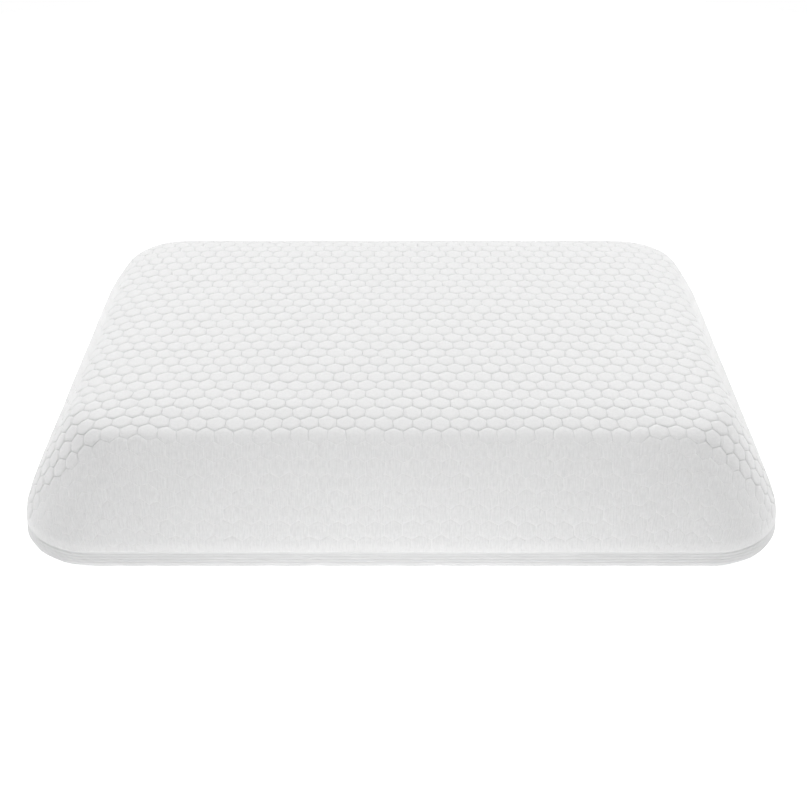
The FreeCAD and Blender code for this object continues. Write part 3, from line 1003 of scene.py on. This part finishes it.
def inner_layers(foam_material, liner_material):
    """Foam loaf, and the jersey liner round it with an inner and an outer skin."""
    around = stations(INNER_STEP)
    on_top = np.linspace(INNER_FIRST, FLAT_CORNER, INNER_FLAT_RINGS)
    on_side = FLAT_CORNER + np.linspace(0, BASE_ARC, INNER_SIDE_RINGS)
    reaches = np.concatenate([on_top, on_side[1:]])
    foam_rings = shell(around, [(reach, -FOAM_FACE) for reach in reaches])
    points, faces = capped(foam_rings)
    foam = add_piece("foam_loaf", points, faces, foam_material, ["foam_core"])
    skins = []
    for depth in (LINER_FACE, LINER_BACK):
        points, faces = capped(shell(around, [(reach, -depth) for reach in reaches]))
        if depth == LINER_BACK:
            faces = [face[::-1] for face in faces]
        skins.append((points, faces))
    points, faces = joined(skins)
    cloth = np.array([points[:, 0] + points[:, 2], points[:, 1] + points[:, 2]]).T
    liner = add_piece("jersey_liner", points, faces, liner_material,
                      ["inner_liner"], cloth)
    return foam, liner


# ============ zip ============

def zip_place(along, out, up):
    """Points in space of the zip's frame: along the seam, out of the cover, up the side."""
    along, out, up = np.broadcast_arrays(np.asarray(along, float), out, up)
    y = CENTRE_Y + HALF_WIDTH - wall_point(SEAM_FRACTION)[0]
    y = y + out * math.cos(SEAM_LEAN) - up * math.sin(SEAM_LEAN)
    z = SEAM_Z + out * math.sin(SEAM_LEAN) + up * math.cos(SEAM_LEAN)
    return np.array([along.ravel(), y.ravel(), z.ravel()]).T


def zip_tape(name, side, material, node_name):
    """Woven tape above or below the coil, with cross ribs and rounded edges."""
    along = np.linspace(-ZIP_HALF, ZIP_HALF, int(4 * ZIP_HALF / TAPE_RIB) * 2 + 1)
    section = []
    for share in TAPE_FACE_POINTS:
        section.append((share, TAPE_FACE - TAPE_ROUND * (share in (0, 1))))
    for share in TAPE_BACK_POINTS:
        section.append((share, TAPE_FACE - TAPE_THICK))
    ribs = TAPE_RIB_HEIGHT * np.cos(2 * math.pi * along / TAPE_RIB)
    rings = []
    cloth = []
    for share, out in section:
        up = TAPE_INNER + TAPE_WIDTH * (TAPE_TRIM + (1 - 2 * TAPE_TRIM) * share)
        rings.append(zip_place(along, out + ribs, side * up))
        cloth.append(np.array([along, np.full(len(along), up)]).T)
    faces = bar_faces(len(section), len(along))
    if side > 0:
        faces = [face[::-1] for face in faces]
    add_piece(name, np.concatenate(rings), faces, material, [node_name],
              np.concatenate(cloth))


def zip_coil(name, side, material, node_name):
    """Nylon coil: a flattened helix whose heads come near the middle of the chain."""
    end = COIL_HALF - COIL_MARGIN
    along = np.linspace(-end, end, int(2 * COIL_HALF / COIL_PITCH * COIL_POINTS))
    phase = 2 * math.pi * along / COIL_PITCH + (0 if side > 0 else math.pi)
    middle = (COIL_INNER + COIL_OUTER) / 2
    reach = (COIL_OUTER - COIL_INNER) / 2 - COIL_THREAD
    up = middle - reach * np.cos(phase)
    out = (COIL_DEPTH - COIL_THREAD - COIL_CLEAR) * np.sin(phase) - COIL_DEPTH
    points, faces = tube(zip_place(along, out, side * up), COIL_THREAD, THREAD_SIDES)
    add_piece(name, points, faces, material, [node_name])


def hem_face(toward):
    """How far the cover's face stands off the loaf where the topstitching runs."""
    return HEM_BULGE * STITCHED_SHARE if toward < 0 else -PANEL_STEP


def topstitch(name, toward, material):
    """Row of stitches through the folded edge beside the zip.

    toward is -1 for the panel above the seam and 1 for the one below.
    """
    first, last = STITCH_MARGIN
    share = np.linspace(0, 1, STITCH_POINTS)
    out = hem_face(toward) + STITCH_RISE * np.sin(math.pi * share) - STITCH_SUNK
    up = -toward * (OPENING_HALF + STITCH_INSET)
    parts = []
    for start in np.arange(first - ZIP_HALF, ZIP_HALF - last, STITCH_PITCH):
        stitch = zip_place(start + STITCH_LENGTH * share, out, up)
        parts.append(tube(stitch, STITCH_THREAD, THREAD_SIDES))
    points, faces = joined(parts)
    add_piece(name, points, faces, material)


# ============ room, light and camera ============

def soft_light(name, place, size, watts):
    """Large area light aimed at the middle of the pillow."""
    lamp = bpy.data.lights.new(name, "AREA")
    lamp.shape = "RECTANGLE"
    lamp.size, lamp.size_y = size
    lamp.energy = watts
    holder = bpy.data.objects.new(name, lamp)
    bpy.context.scene.collection.objects.link(holder)
    holder.location = Vector(place) + Vector((0, CENTRE_Y, 0))
    aim = Vector((0, CENTRE_Y, WALL_TOP_Z / 2)) - holder.location
    holder.rotation_euler = aim.to_track_quat("-Z", "Y").to_euler()
    holder.visible_camera = False


def sky():
    """Plain white surroundings, which are seen but light nothing: the lamps and the floor do that."""
    world = bpy.data.worlds.new("sky")
    world.use_nodes = True
    background = world.node_tree.nodes["Background"]
    background.inputs["Color"].default_value = (1, 1, 1, 1)
    background.inputs["Strength"].default_value = 1.0
    world.cycles_visibility.diffuse = False
    world.cycles_visibility.glossy = False
    world.cycles_visibility.transmission = False
    bpy.context.scene.world = world


def room():
    """Pale floor, even white sky, soft lights and the camera."""
    mesh = bpy.data.meshes.new("floor")
    turns = [2 * math.pi * step / FLOOR_SIDES for step in range(FLOOR_SIDES)]
    corners = [(FLOOR_RADIUS * math.cos(turn), FLOOR_RADIUS * math.sin(turn), 0) for turn in turns]
    mesh.from_pydata(corners, [], [tuple(range(FLOOR_SIDES))])
    mesh.materials.append(floor_paper())
    floor = bpy.data.objects.new("floor", mesh)
    bpy.context.scene.collection.objects.link(floor)
    sky()
    for light in LIGHTS:
        soft_light(*light)
    camera = bpy.data.objects.new("camera", bpy.data.cameras.new("camera"))
    bpy.context.scene.collection.objects.link(camera)
    camera.data.sensor_width = 36.0
    camera.data.lens = CAMERA_LENS
    camera.data.clip_start = 0.05
    camera.location = (CAMERA_ASIDE, CENTRE_Y - CAMERA_BACK, CAMERA_HEIGHT)
    camera.rotation_euler = (math.pi / 2 - CAMERA_PITCH, 0, 0)
    bpy.context.scene.camera = camera
    bpy.context.scene.view_settings.view_transform = "Standard"


# ============ the pillow ============

honeycomb = honeycomb_knit()
plain = plain_knit()
thread = sewing_thread()
tape = woven_tape()
nylon = nylon_coil()
enamel = enamelled_metal()

quilt = quilted_top(honeycomb)
bottom = plain_bottom(plain)
overlock_seam(plain, thread)
foam, liner = inner_layers(open_foam(), liner_jersey())
for name, side in (("upper", 1), ("lower", -1)):
    zip_tape("woven_tape_" + name, side, tape, "zip_tape_" + name)
    zip_coil("zip_coil_" + name, side, nylon, "zip_teeth_" + name)
    topstitch("topstitch_" + name, -side, thread)

metal_nodes = ("zip_top_stop_upper", "zip_top_stop_lower", "zip_bottom_stop",
               "zip_slider", "zip_pull_tab")
for name in metal_nodes:
    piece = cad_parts[name]
    piece.data.materials.clear()
    piece.data.materials.append(enamel)

room()
